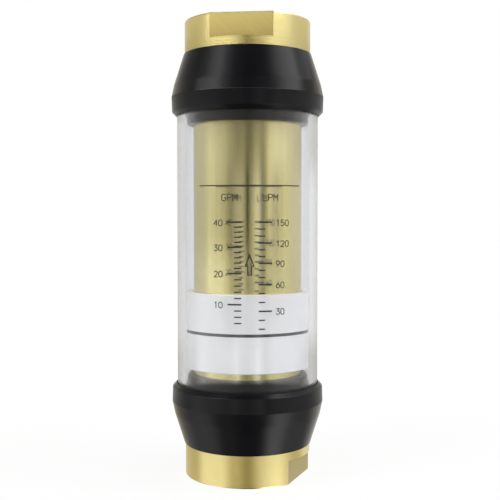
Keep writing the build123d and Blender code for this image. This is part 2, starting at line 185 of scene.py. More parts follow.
casing_section = rounded([
    (casing_radius, casing_base), (casing_radius, casing_end),
    (casing_bore + lead_in_width, casing_end), (casing_bore, casing_end - lead_in_length),
    (casing_bore, body_length - snap_groove_base),
    (snap_groove_radius, body_length - snap_groove_base),
    (snap_groove_radius, body_length - snap_groove_base - snap_groove_width),
    (casing_bore, body_length - snap_groove_base - snap_groove_width),
    (casing_bore, snap_groove_base + snap_groove_width),
    (snap_groove_radius, snap_groove_base + snap_groove_width),
    (snap_groove_radius, snap_groove_base), (casing_bore, snap_groove_base),
    (casing_bore, casing_base + lead_in_length),
    (casing_bore + lead_in_width, casing_base)], casing_edge, 2)
casing = skin("casing_tube", [turned(casing_section, full_turn())], drawn_brass)
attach(casing, "meter_body")
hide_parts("casing")

# ---------------------------------------------------------------------------------- end ports
# Two ends turned from brass bar, each with a female pipe thread, a throat, a spigot that
# goes into the casing with an O-ring groove, and two wrench flats milled into the head.
# The outlet is the inlet upside down, with its flats at another angle.
port_radius = 25.4
port_edge = 0.5
head_length = 12.85
flat_reach = 22.225
flats_depth = 9.5
flat_burr = 0.15
face_edge_radius, face_edge_height = 0.15, 0.12
thread_root_radius = 16.1
thread_crest_radius = 14.7
thread_depth = 20.0
thread_pitch = 2.21
thread_start, thread_run_out = 1.3, 2.4
thread_base_share, thread_crest_share = 0.5, 0.12
thread_fill, thread_sink = 0.92, 0.15
thread_steps = 96
thread_mouth = 0.5
throat_radius = 12.6
throat_start = 21.2
spigot_radius = 19.0
spigot_end = 34.85
spigot_lead_width, spigot_lead_length = 0.6, 1.2
relief_radius = 18.4
relief_end, relief_ramp_end = 1.6, 2.2
gland_start, gland_end = 24.86, 29.55
gland_radius = 16.85
inlet_flats_turn = 67.6
outlet_flats_turn = -6.0


def port_brass(name, dark, light, roughness, line_width, across):
    """Brass cut on a machine. The cutter's lines are noise of one coordinate only: height plus
    radius on turned faces, so that they ring the head and the end face alike, or the distance
    along the cut on milled ones. Real lines are 0.1 mm apart; line_width draws them coarser,
    so that they show."""
    material, tree = new_material(name)
    place = add_node(tree, "ShaderNodeTexCoord").outputs["Object"]
    part = add_node(tree, "ShaderNodeSeparateXYZ", links={"Vector": place}).outputs
    if across:
        along = add_node(tree, "ShaderNodeMath", links={0: part[0], 1: part[2]}).outputs[0]
    else:
        flat_place = add_node(tree, "ShaderNodeVectorMath", {1: (1, 1, 0)}, {0: place},
                              operation="MULTIPLY").outputs[0]
        radius = add_node(tree, "ShaderNodeVectorMath", links={0: flat_place},
                          operation="LENGTH").outputs["Value"]
        along = add_node(tree, "ShaderNodeMath", links={0: radius, 1: part[2]}).outputs[0]
    lines = add_node(tree, "ShaderNodeTexNoise",
                     {"Scale": 1 / (line_width * MM), "Detail": 3.0, "Roughness": 0.7},
                     {"W": along}, noise_dimensions="1D").outputs["Fac"]
    cloud = add_node(tree, "ShaderNodeTexNoise", {"Scale": 120.0, "Detail": 3.0},
                     {"Vector": place}).outputs["Fac"]
    tone = add_node(tree, "ShaderNodeMix", {0: 0.35}, {2: lines, 3: cloud}).outputs[0]
    colour = add_node(tree, "ShaderNodeMix", {6: linear(dark), 7: linear(light)},
                      {0: tone}, data_type="RGBA").outputs[2]
    gloss = add_node(tree, "ShaderNodeMapRange",
                     {"From Min": 0.3, "From Max": 0.7,
                      "To Min": roughness - 0.04, "To Max": roughness + 0.05},
                     {"Value": tone}).outputs[0]
    bump = add_node(tree, "ShaderNodeBump", {"Strength": 0.25, "Distance": 0.00003},
                    {"Height": lines}).outputs[0]
    metal = add_node(tree, "ShaderNodeBsdfPrincipled", {"Metallic": 1.0},
                     {"Base Color": colour, "Roughness": gloss, "Normal": bump})
    add_node(tree, "ShaderNodeOutputMaterial", links={"Surface": metal.outputs[0]})
    return material


# Turned: close rings that soften a reflection up and down. Milled: duller, and its colours are
# darker as painted shade on the flats.
turned_brass = port_brass("turned_brass", "#D2C282", "#ECDEA0", 0.2, 0.35, False)
milled_brass_painted_shade = port_brass("milled_brass_painted_shade", "#9F8E55", "#BDAD70", 0.34, 0.9, True)


def port_grid(flats_turn):
    """The head and spigot as one closed grid. The section is turned, and then within the flats'
    depth each point is brought in to reach / cos(angle from the flat's middle), if that is
    nearer the axis, which is a plane. Grid lines lie on the flats' edges."""
    half_flat = np.arccos(flat_reach / port_radius)
    middles = np.radians(flats_turn) + np.array([0, np.pi])
    edges = np.concatenate([middles - half_flat, middles + half_flat])
    angles = np.unique(np.round(np.mod(np.concatenate([full_turn(), edges]), 2 * np.pi), 9))
    outside = np.array([
        (port_radius - port_edge, 0), (port_radius - face_edge_radius, face_edge_height),
        (port_radius, port_edge),
        (port_radius, flats_depth - 0.05), (port_radius, flats_depth),
        (port_radius, flats_depth + 0.02), (port_radius, head_length - 0.06)])
    inside = rounded([
        (port_radius, head_length), (relief_radius, head_length),
        (relief_radius, head_length + relief_end),
        (spigot_radius, head_length + relief_ramp_end),
        (spigot_radius, gland_start), (gland_radius, gland_start), (gland_radius, gland_end),
        (spigot_radius, gland_end), (spigot_radius, spigot_end - spigot_lead_length),
        (spigot_radius - spigot_lead_width, spigot_end), (throat_radius, spigot_end),
        (throat_radius, throat_start), (thread_root_radius, thread_depth),
        (thread_root_radius, thread_mouth), (thread_root_radius + thread_mouth, 0)], 0.08, 2)
    section = np.concatenate([outside, inside])
    grid = turned(section, angles)
    turn = np.abs(np.mod(angles[:, None] - middles[None, :] + np.pi, 2 * np.pi) - np.pi).min(1)
    plane = flat_reach / np.cos(np.minimum(turn, 1.2))
    depth = np.array([flat_burr, flat_burr / 3, 0, 0])
    reach = np.full((len(angles), len(section)), 1e3)
    reach[:, :4] = plane[:, None] - depth
    radius = np.hypot(grid[..., 0], grid[..., 1])
    grid[..., :2] *= np.minimum(1, reach / radius)[..., None]
    return grid, turn < half_flat


def thread_grid(sign):
    """The thread: a ridge with sloping sides carried along a helix in the bore. Angle a climbs
    one pitch a turn. The ridge's foot is sunk into the bore, and its height rises from nothing
    over the first 0.6 rad and fades over the last half turn."""
    turns = (thread_depth - thread_run_out) / thread_pitch
    a = np.linspace(0, 2 * np.pi * turns, int(thread_steps * turns))
    fade = np.clip((a[-1] - a) / np.pi, 0.02, 1) * np.clip(a / 0.6 + 0.02, 0, 1)
    rise = np.array([-thread_base_share, thread_base_share,
                     thread_crest_share, -thread_crest_share]) * (thread_pitch * thread_fill)
    depth = np.array([-thread_sink, -thread_sink, 1.0, 1.0])
    height = thread_root_radius - thread_crest_radius
    r = thread_root_radius - height * np.where(depth > 0, depth * fade[:, None], depth)
    z = thread_start + thread_pitch * (a / (2 * np.pi))[:, None] + rise
    return np.stack([r * np.sin(sign * a)[:, None], -r * np.cos(sign * a)[:, None], z], -1)


def make_port(side, flats_turn, upside_down):
    """One port and its thread, riding on the meter's body. The upper one is mirrored about the
    middle of the meter, with its rows turned round so that its faces still point outwards."""
    body, on_flat = port_grid(flats_turn)
    ridge = thread_grid(-1 if upside_down else 1)
    if upside_down:
        body, ridge = body[::-1].copy(), ridge[::-1].copy()
        on_flat = on_flat[::-1]
        body[..., 2] = body_length - body[..., 2]
        ridge[..., 2] = body_length - ridge[..., 2]
    port = skin(side + "_port_body", [body], turned_brass, sharp=20.0)
    # The flats take the milled brass: rougher, with darker colours that are painted shade.
    port.data.materials.append(milled_brass_painted_shade)
    both = on_flat & np.roll(on_flat, -1)
    milled_and_shaded_faces = np.zeros((len(body), body.shape[1]), np.int32)
    milled_and_shaded_faces[both, :4] = 1
    port.data.polygons.foreach_set("material_index", milled_and_shaded_faces.ravel())
    thread = skin(side + "_pipe_thread", [ridge], turned_brass, rings=False)
    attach(port, "meter_body")
    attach(thread, "meter_body")
    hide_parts(side + "_port")


make_port("inlet", inlet_flats_turn, False)
make_port("outlet", outlet_flats_turn, True)

# ---------------------------------------------------------------------------------- guard seals
# One rubber moulding at each end of the window. The cone takes knocks, its mouth holds the
# window's end in a U groove, and its inner leg stops the indicator ring softly.
seal_base = 12.85
seal_mouth = 37.4
seal_bore, leg_radius, shoulder_radius = 22.04, 24.6, 25.25
groove_wall, seal_band_radius = 28.725, 30.6
groove_floor, shoulder_end, leg_end = 27.0, 38.4, 41.4
# Radius, height and rounding of each corner: crowned cone, band, mouth, groove, shoulder, leg
seal_corners = np.array([
    (seal_bore, seal_base, 0.1), (25.82, seal_base, 0.25), (29.75, 25.1, 12.0),
    (30.775, 30.05, 1.6), (seal_band_radius, 35.95, 0.35), (29.1, seal_mouth, 0.06),
    (groove_wall + 0.2, seal_mouth, 0.05), (groove_wall, seal_mouth - 0.3, 0.1),
    (groove_wall, groove_floor, 0.3), (shoulder_radius, groove_floor, 0.3),
    (shoulder_radius, shoulder_end, 0.25), (leg_radius, shoulder_end, 0.2),
    (leg_radius, leg_end, 0.7), (seal_bore, leg_end, 0.15)])
seal_section = rounded(seal_corners[:, :2], seal_corners[:, 2], 6)

# Nitrile rubber, moulded in a bead-blasted tool: near black with a satin sheen, a grain of
# 0.1 mm drawn at 0.3 mm, and faint cloudy bloom that lifts the sheen in places.
seal_rubber, tree = new_material("moulded_nitrile_rubber")
place = add_node(tree, "ShaderNodeTexCoord").outputs["Object"]
grain = add_node(tree, "ShaderNodeTexNoise", {"Scale": 3300.0, "Detail": 2.0},
                 {"Vector": place}).outputs["Fac"]
bloom = add_node(tree, "ShaderNodeTexNoise", {"Scale": 90.0, "Detail": 4.0},
                 {"Vector": place}).outputs["Fac"]
rubber_colour = add_node(tree, "ShaderNodeMix", {6: linear("#08080B"), 7: linear("#0F0F13")},
                         {0: bloom}, data_type="RGBA").outputs[2]
rubber_gloss = add_node(tree, "ShaderNodeMapRange",
                        {"From Min": 0.3, "From Max": 0.7, "To Min": 0.16, "To Max": 0.23},
                        {"Value": bloom}).outputs[0]
rubber_bump = add_node(tree, "ShaderNodeBump", {"Strength": 0.12, "Distance": 0.00005},
                       {"Height": grain}).outputs[0]
rubber = add_node(tree, "ShaderNodeBsdfPrincipled", {"IOR": 1.27},
                  {"Base Color": rubber_colour, "Roughness": rubber_gloss,
                   "Normal": rubber_bump})
add_node(tree, "ShaderNodeOutputMaterial", links={"Surface": rubber.outputs[0]})

for end in ("lower", "upper"):
    seal_grid = turned(seal_section, full_turn())
    if end == "upper":
        seal_grid = seal_grid[::-1].copy()
        seal_grid[..., 2] = body_length - seal_grid[..., 2]
    seal = skin(end + "_seal_moulding", [seal_grid], seal_rubber, sharp=25.0)
    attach(seal, "meter_body")
    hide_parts(end + "_guard_seal")

# ---------------------------------------------------------------------------------- window
# The window is a length of extruded clear polycarbonate tube, sawn and chamfered, held in
# the seals' grooves. It can be turned by hand to bring the scale to the front.
window_radius = 28.575
window_bore = 25.4
window_base, window_end = 27.3, 155.7
chamfer = 0.4
window_section = rounded([
    (window_radius - chamfer, window_base), (window_radius, window_base + chamfer),
    (window_radius, window_end - chamfer), (window_radius - chamfer, window_end),
    (window_bore + chamfer, window_end), (window_bore, window_end - chamfer),
    (window_bore, window_base + chamfer), (window_bore + chamfer, window_base)], 0.1, 2)

# Extruded polycarbonate: clear, very slightly cool, with faint die lines along the tube that
# show at its edges. Light for the parts inside passes straight through for lamps.
clear_plastic, tree = new_material("extruded_clear_polycarbonate")
place = add_node(tree, "ShaderNodeTexCoord").outputs["Object"]
die_place = add_node(tree, "ShaderNodeMapping", {"Scale": (350, 350, 3)},
                     {"Vector": place}).outputs[0]
die_lines = add_node(tree, "ShaderNodeTexNoise", {"Scale": 1.0, "Detail": 3.0},
                     {"Vector": die_place}).outputs["Fac"]
haze = add_node(tree, "ShaderNodeMapRange",
                {"From Min": 0.35, "From Max": 0.75, "To Min": 0.0, "To Max": 0.025},
                {"Value": die_lines}).outputs[0]
die_bump = add_node(tree, "ShaderNodeBump", {"Strength": 0.03, "Distance": 0.00004},
                    {"Height": die_lines}).outputs[0]
plastic = add_node(tree, "ShaderNodeBsdfPrincipled",
                   {"Base Color": linear("#EAEBED"), "IOR": 1.585, "Transmission Weight": 1.0},
                   {"Roughness": haze, "Normal": die_bump})
lamp_path = add_node(tree, "ShaderNodeLightPath").outputs["Is Shadow Ray"]
clear_path = add_node(tree, "ShaderNodeBsdfTransparent", {"Color": linear("#FFFFFF")})
through = add_node(tree, "ShaderNodeMixShader",
                   links={0: lamp_path, 1: plastic.outputs[0], 2: clear_path.outputs[0]})
add_node(tree, "ShaderNodeOutputMaterial", links={"Surface": through.outputs[0]})

window = skin("window_sleeve", [turned(window_section, full_turn())], clear_plastic, sharp=20.0)
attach(window, "window")
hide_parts("window_tube")

# ---------------------------------------------------------------------------------- scale
# The scale is screen printed on the window in black ink: gallons a minute on the left and
# litres a minute on the right, a rule above them, and an arrow that points with the flow.
ink_thickness = 0.03
ink_sink = 0.02
pen = 0.34
ink_radius = window_radius
numeral_height = 2.2
numeral_advance = 1.94
unit_height = 2.5
unit_advance = 2.18
character_stretch = 1.04
numeral_drop = 0.28
unit_middle = 112.2
major_width, minor_width = 0.6, 0.48
rule_height, rule_width = 116.75, 0.42
degree = np.pi / 180 * ink_radius
# Places round the tube in degrees from the front, to the right
gallon_major_ends, gallon_minor_ends = (-15.2, -4.5), (-10.1, -4.6)
litre_major_ends, litre_minor_ends = (8.7, 19.1), (8.7, 13.6)
gallon_numerals, litre_numerals = -26.3, 22.6
gallon_unit, litre_unit = -19.8, 11.8
rule_ends = (-39.9, 44.0)
arrow_place, arrow_pen = 1.8, 0.42


def arc(x, y, rx, ry, start, end, steps=14):
    """Points on an ellipse about (x, y) from one angle in degrees to another."""
    a = np.radians(np.linspace(start, end, steps))
    return np.stack([x + rx * np.cos(a), y + ry * np.sin(a)], -1)


def joined(*paths):
    """Several runs of points as one path."""
    return np.concatenate([np.asarray(p, float).reshape(-1, 2) for p in paths])


# Single-stroke characters in a cell 1 high and 0.62 wide, as a plotter draws them.
wide = 0.62
strokes_of = {
    "0": [joined(arc(0.31, 0.69, 0.31, 0.31, 0, 180), arc(0.31, 0.31, 0.31, 0.31, 180, 360),
                 (wide, 0.69))],
    "1": [joined((0.12, 0.84), (0.34, 1.0), (0.34, 0.0))],
    "2": [joined(arc(0.31, 0.7, 0.3, 0.3, 170, -35), (0.0, 0.0), (wide, 0.0))],
    "3": [joined((0.03, 1.0), (0.58, 1.0), (0.26, 0.6),
                 arc(0.29, 0.3, 0.32, 0.3, 88, -155))],
    "4": [joined((0.46, 0.0), (0.46, 1.0), (0.0, 0.3), (wide, 0.3))],
    "5": [joined((0.57, 1.0), (0.1, 1.0), (0.05, 0.55), arc(0.29, 0.32, 0.32, 0.32, 130, -150))],
    "6": [joined((0.47, 1.0), arc(0.31, 0.31, 0.31, 0.31, 155, 515, 22))],
    "9": [joined((0.15, 0.0), arc(0.31, 0.69, 0.31, 0.31, -25, 335, 22))],
    "G": [joined(arc(0.31, 0.69, 0.31, 0.31, 25, 180), arc(0.31, 0.31, 0.31, 0.31, 180, 360),
                 (wide, 0.48), (0.36, 0.48))],
    "L": [joined((0.02, 1.0), (0.02, 0.0), (wide, 0.0))],
    "M": [joined((0.0, 0.0), (0.0, 1.0), (0.31, 0.42), (wide, 1.0), (wide, 0.0))],
    "P": [joined((0.02, 0.0), (0.02, 1.0), (0.34, 1.0), arc(0.34, 0.74, 0.28, 0.26, 90, -90),
                 (0.02, 0.48))],
}


def ink_line(path, width):
    """A pen stroke on the window as a thin closed strip. The path (mm round the tube, mm up) is
    cut into short steps, each point is moved half a width to both sides along the mitre of its
    two directions, and both edges are wrapped round the tube: angle = distance / radius."""
    path = np.asarray(path, float)
    step = np.hypot(*np.diff(path, axis=0).T)
    path, step = path[np.r_[True, step > 1e-6]], step[step > 1e-6]
    at = np.r_[0, np.cumsum(step)]
    marks = np.unique(np.round(np.r_[at, np.arange(0, at[-1], 0.6)], 6))
    marks = marks[np.r_[True, np.diff(marks) > 1e-3]]
    path = np.stack([np.interp(marks, at, path[:, 0]), np.interp(marks, at, path[:, 1])], -1)
    way = np.diff(path, axis=0)
    way /= np.linalg.norm(way, axis=1)[:, None]
    before, after = np.vstack([way[:1], way]), np.vstack([way, way[-1:]])
    mitre = before + after
    mitre /= np.maximum((mitre ** 2).sum(1) / 2, 0.35)[:, None]
    aside = np.stack([-mitre[:, 1], mitre[:, 0]], -1) * width / 2
    edges = path[:, None] + aside[:, None] * np.array([-1, -1, 1, 1])[None, :, None]
    r = ink_radius + np.array([-ink_sink, ink_thickness, ink_thickness, -ink_sink])
    a = edges[..., 0] / ink_radius
    return np.stack([r * np.sin(a), -r * np.cos(a), edges[..., 1]], -1)


def lettering(text, left, middle, height, advance):
    """Pen strokes of a text whose first cell starts left mm round from the front."""
    corner = np.array([left, middle - height / 2])
    cell = np.array([height * character_stretch, height])
    return [ink_line(corner + (advance * i, 0) + stroke * cell, pen)
            for i, character in enumerate(text) for stroke in strokes_of[character]]


def ticks(values, reading, height, ends, width):
    """Level pen strokes between two angles in degrees, at the heights that readings have."""
    levels = np.interp(values, reading, height)
    return [ink_line([(end * degree, z) for end in ends], width) for z in levels]


# Readings and their heights in mm above the inlet's face; others lie in line between them
gallon_readings, gallon_heights = [4, 10, 20, 30, 40], [64.5, 71.65, 83.45, 93.4, 102.9]
litre_readings = [10, 30, 60, 90, 120, 150]
litre_heights = [62.3, 69.1, 79.25, 87.35, 95.0, 102.9]
gallon_majors = [10, 20, 30, 40]
litre_majors = [30, 60, 90, 120, 150]
gallon_minors = [v for v in range(4, 40, 2) if v % 10]
litre_minors = [v for v in range(10, 150, 10) if v % 30]
scale_strokes = ticks(gallon_majors, gallon_readings, gallon_heights, gallon_major_ends,
                      major_width)
scale_strokes += ticks(gallon_minors, gallon_readings, gallon_heights, gallon_minor_ends,
                       minor_width)
scale_strokes += ticks(litre_majors, litre_readings, litre_heights, litre_major_ends, major_width)
scale_strokes += ticks(litre_minors, litre_readings, litre_heights, litre_minor_ends, minor_width)
for majors, readings, heights, left in (
        (gallon_majors, gallon_readings, gallon_heights, gallon_numerals),
        (litre_majors, litre_readings, litre_heights, litre_numerals)):
    for value, z in zip(majors, np.interp(majors, readings, heights)):
        scale_strokes += lettering(str(value), left * degree, z - numeral_drop, numeral_height,
                                   numeral_advance)
scale_strokes += lettering("GPM", gallon_unit * degree, unit_middle, unit_height, unit_advance)
scale_strokes += lettering("LPM", litre_unit * degree, unit_middle, unit_height, unit_advance)
scale_strokes.append(ink_line([(end * degree, rule_height) for end in rule_ends], rule_width))

# The arrow is an outline: head 3.2 mm wide, stem 1.44 mm between its two lines. Its last point
# goes over the first side again, which closes the tip.
arrow_tip, arrow_neck, arrow_foot = 90.5, 86.3, 82.95
arrow_half, stem_half = 1.6, 0.72
arrow_outline = np.array([
    (0, arrow_tip), (arrow_half, arrow_neck), (stem_half, arrow_neck), (stem_half, arrow_foot),
    (-stem_half, arrow_foot), (-stem_half, arrow_neck), (-arrow_half, arrow_neck), (0, arrow_tip),
    (0.2, 89.98)])
scale_strokes.append(ink_line(arrow_outline + (arrow_place * degree, 0), arrow_pen))

# Screen ink: black with a slight grey cast, semi-matt, its film uneven over 0.5 mm.
print_ink, tree = new_material("black_screen_ink")
place = add_node(tree, "ShaderNodeTexCoord").outputs["Object"]
film = add_node(tree, "ShaderNodeTexNoise", {"Scale": 2000.0, "Detail": 2.0},
                {"Vector": place}).outputs["Fac"]
ink_colour = add_node(tree, "ShaderNodeMix", {6: linear("#0E0E10"), 7: linear("#1C1C1F")},
                      {0: film}, data_type="RGBA").outputs[2]
ink = add_node(tree, "ShaderNodeBsdfPrincipled", {"Roughness": 0.55, "IOR": 1.5},
               {"Base Color": ink_colour})
add_node(tree, "ShaderNodeOutputMaterial", links={"Surface": ink.outputs[0]})

scale_print = skin("scale_print", scale_strokes, print_ink, rings=False)
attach(scale_print, "window")

# ---------------------------------------------------------------------------------- indicator
# The white ring that the magnet carries up the outside of the casing: a turned acetal shell
# with a shallow groove round it, filled with black as the reading line.
shell_bore, shell_radius = 22.25, 24.9
shell_base, shell_end = 44.55, 74.95
line_middle, line_width, line_depth = 59.4, 1.2, 0.12
line_base, line_end = line_middle - line_width / 2, line_middle + line_width / 2
fill_gap, fill_depth = 0.02, 0.2
shell_section = rounded([
    (shell_radius, shell_base), (shell_radius, line_base),
    (shell_radius - line_depth, line_base), (shell_radius - line_depth, line_end),
    (shell_radius, line_end), (shell_radius, shell_end),
    (shell_bore, shell_end), (shell_bore, shell_base)],
    [0.3, 0.03, 0.02, 0.02, 0.03, 0.3, 0.3, 0.3], 4)

# Acetal: milky white, smooth and slightly waxy, with tool rings too fine to feel.
white_acetal, tree = new_material("turned_white_acetal")
place = add_node(tree, "ShaderNodeTexCoord").outputs["Object"]
mottle = add_node(tree, "ShaderNodeTexNoise", {"Scale": 160.0, "Detail": 3.0},
                  {"Vector": place}).outputs["Fac"]
height_part = add_node(tree, "ShaderNodeSeparateXYZ", links={"Vector": place}).outputs[2]
tool_rings = add_node(tree, "ShaderNodeTexNoise", {"Scale": 4000.0, "Detail": 1.0},
                      {"W": height_part}, noise_dimensions="1D").outputs["Fac"]
acetal_colour = add_node(tree, "ShaderNodeMix", {6: linear("#F0F0F2"), 7: linear("#F8F8F9")},
                         {0: mottle}, data_type="RGBA").outputs[2]
acetal_bump = add_node(tree, "ShaderNodeBump", {"Strength": 0.1, "Distance": 0.00002},
                       {"Height": tool_rings}).outputs[0]
acetal = add_node(tree, "ShaderNodeBsdfPrincipled", {"Roughness": 0.38, "IOR": 1.48},
                  {"Base Color": acetal_colour, "Normal": acetal_bump})
add_node(tree, "ShaderNodeOutputMaterial", links={"Surface": acetal.outputs[0]})

shell = skin("indicator_ring", [turned(shell_section, full_turn())], white_acetal)
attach(shell, "indicator")
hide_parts("indicator_shell", "indicator_cap", "indicator_magnet")

line_section = rounded([
    (shell_radius - fill_gap, line_base + fill_gap),
    (shell_radius - fill_gap, line_end - fill_gap),
    (shell_radius - fill_depth, line_end - fill_gap),
    (shell_radius - fill_depth, line_base + fill_gap)], 0.02, 2)
reading_line = skin("reading_line", [turned(line_section, full_turn())], print_ink)
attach(reading_line, "indicator")

# ---------------------------------------------------------------------------------- insides
# What the meter holds inside the casing, seen through its ports: steel plates, cone, nuts
# and washers, snap rings, and the piston with its orifice and magnet.


def plain_finish(name, dark, light, roughness, metallic=0.0, grain=0.4, ior=1.5):
    """A finish with a fine grain of the given size in mm that varies its tone and its bump."""
    material, tree = new_material(name)
    place = add_node(tree, "ShaderNodeTexCoord").outputs["Object"]
    fine = add_node(tree, "ShaderNodeTexNoise", {"Scale": 1 / (grain * MM), "Detail": 3.0},
                    {"Vector": place}).outputs["Fac"]
    colour = add_node(tree, "ShaderNodeMix", {6: linear(dark), 7: linear(light)},
                      {0: fine}, data_type="RGBA").outputs[2]
    bump = add_node(tree, "ShaderNodeBump", {"Strength": 0.15, "Distance": 0.00003},
                    {"Height": fine}).outputs[0]
    surface = add_node(tree, "ShaderNodeBsdfPrincipled",
                       {"Metallic": metallic, "Roughness": roughness},
                       {"Base Color": colour, "Normal": bump})
    if not metallic:
        surface.inputs["IOR"].default_value = ior
    add_node(tree, "ShaderNodeOutputMaterial", links={"Surface": surface.outputs[0]})
    return material


stainless = plain_finish("machined_stainless_steel", "#9A9A9C", "#C6C6C8", 0.28, 1.0)
spring_steel = plain_finish("ground_spring_steel", "#7E7F82", "#A5A6A9", 0.34, 1.0)
piston_brass = plain_finish("machined_brass", "#C2AD66", "#DCCB8C", 0.26, 1.0)
o_ring_rubber = plain_finish("o_ring_nitrile", "#131314", "#1D1D1F", 0.42, ior=1.52)
ptfe_white = plain_finish("skived_ptfe", "#E4E2DC", "#F0EEE9", 0.5, ior=1.38)
magnet_coat = plain_finish("coated_ferrite", "#2B2C30", "#3E3F44", 0.38, ior=1.55)
finish_of = {
    stainless: ["inlet_spider", "outlet_spider", "metering_cone", "inlet_cone_nut",
                "outlet_cone_nut", "orifice_disk"],
    spring_steel: ["inlet_retaining_ring", "outlet_retaining_ring", "orifice_retaining_ring",
                   "inlet_lock_washer", "outlet_lock_washer"],
    piston_brass: ["piston_body", "piston_nut"],
    o_ring_rubber: ["inlet_o_ring", "outlet_o_ring"],
    ptfe_white: ["inlet_backup_ring", "outlet_backup_ring", "lower_guide_ring",
                 "upper_guide_ring"],
    magnet_coat: ["transfer_magnet"],
}
for finish, names in finish_of.items():
    for name in names:
        nodes[name].data.materials.clear()
        nodes[name].data.materials.append(finish)

# ---------------------------------------------------------------------------------- spring
# The return spring: round spring-steel wire coiled to the right, with a closed turn ground
# flat at each end. It stands on the piston's nut and pushes against the outlet's plate.
wire_radius = 0.95
coil_radius = 16.1
spring_seat, spring_stop = 78.65, 146.15
closed_pitch = 1.94
active_turns = 8
turn_steps = 64


def spring_grid():
    """The wire as one tube along a helix whose pitch is small on both end turns. Its section is
    a right arc and a left arc, b = -low .. high and pi - high .. pi + low, where sin(low) and
    sin(high) are the room to the seat and the stop over the wire's radius, which grinds it."""
    turns = np.linspace(0, active_turns + 2, turn_steps * (active_turns + 2) + 1)[:, None]
    first = spring_seat - wire_radius / 2
    last = spring_stop + wire_radius / 2
    middle = np.interp(turns, [0, 1, active_turns + 1, active_turns + 2],
                       [first, first + closed_pitch, last - closed_pitch, last])
    round_limit = np.sin(np.pi / 2 - 0.15)
    low = np.arcsin(np.clip((middle - spring_seat) / wire_radius, -1, round_limit))
    high = np.arcsin(np.clip((spring_stop - middle) / wire_radius, -1, round_limit))
    share = np.linspace(0, 1, 7)
    b = np.hstack([-low + (low + high) * share, np.pi - high + (low + high) * share])
    r = coil_radius + wire_radius * np.cos(b)
    a = np.pi / 2 + 2 * np.pi * turns
    return np.stack([r * np.sin(a), -r * np.cos(a), middle + wire_radius * np.sin(b)], -1)


spring = skin("return_coil", [spring_grid()], spring_steel, rings=False)
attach(spring, "meter_body")
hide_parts("return_spring")
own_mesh(spring)

# ---------------------------------------------------------------------------------- studio
# A pale floor under soft light: a tent that is bright at the sides and above, and darker
# where the camera looks in.
floor_half = 3000.0
paper_glow = 0.9
floor_mesh = bpy.data.meshes.new("studio_floor")
floor_mesh.from_pydata((np.array([(-1, -1, 0), (1, -1, 0), (1, 1, 0), (-1, 1, 0)])
                        * floor_half * MM).tolist(), [], [(0, 1, 2, 3)])
floor = bpy.data.objects.new("studio_floor", floor_mesh)
bpy.context.scene.collection.objects.link(floor)

# White paper that shows as white and keeps the meter's shadow; metal sees the tent instead.
paper, tree = new_material("white_paper_floor")
sheet = add_node(tree, "ShaderNodeBsdfDiffuse", {"Color": linear("#F4F4F4")})
glow = add_node(tree, "ShaderNodeEmission", {"Color": linear("#FFFFFF"), "Strength": 1.0})
tent = add_node(tree, "ShaderNodeBsdfTransparent")
rays = add_node(tree, "ShaderNodeLightPath").outputs
seen = add_node(tree, "ShaderNodeMath",
                links={0: rays["Is Camera Ray"], 1: rays["Is Transmission Ray"]},
                operation="MAXIMUM").outputs[0]
seen_share = add_node(tree, "ShaderNodeMath", {1: paper_glow}, {0: seen},
                      operation="MULTIPLY").outputs[0]
lit = add_node(tree, "ShaderNodeMixShader",
               links={0: seen_share, 1: sheet.outputs[0], 2: glow.outputs[0]})
laid = add_node(tree, "ShaderNodeMixShader",
                links={0: rays["Is Glossy Ray"], 1: lit.outputs[0], 2: tent.outputs[0]})
add_node(tree, "ShaderNodeOutputMaterial", links={"Surface": laid.outputs[0]})
floor_mesh.materials.append(paper)

# The tent's light is white where it is bright and turns yellow as it dims: slightly, or strongly
# in the two belts that the brass ends mirror. Each tint is a base and what a level of 1 adds.
warm_tint = (1.0, 0.77, 0.1), (0.0, 0.22, 0.86)
plain_tint = (1.0, 0.95, 0.8), (0.0, 0.05, 0.2)
cloth_level = 0.12
cloth_start, cloth_end = 0.9, 0.96

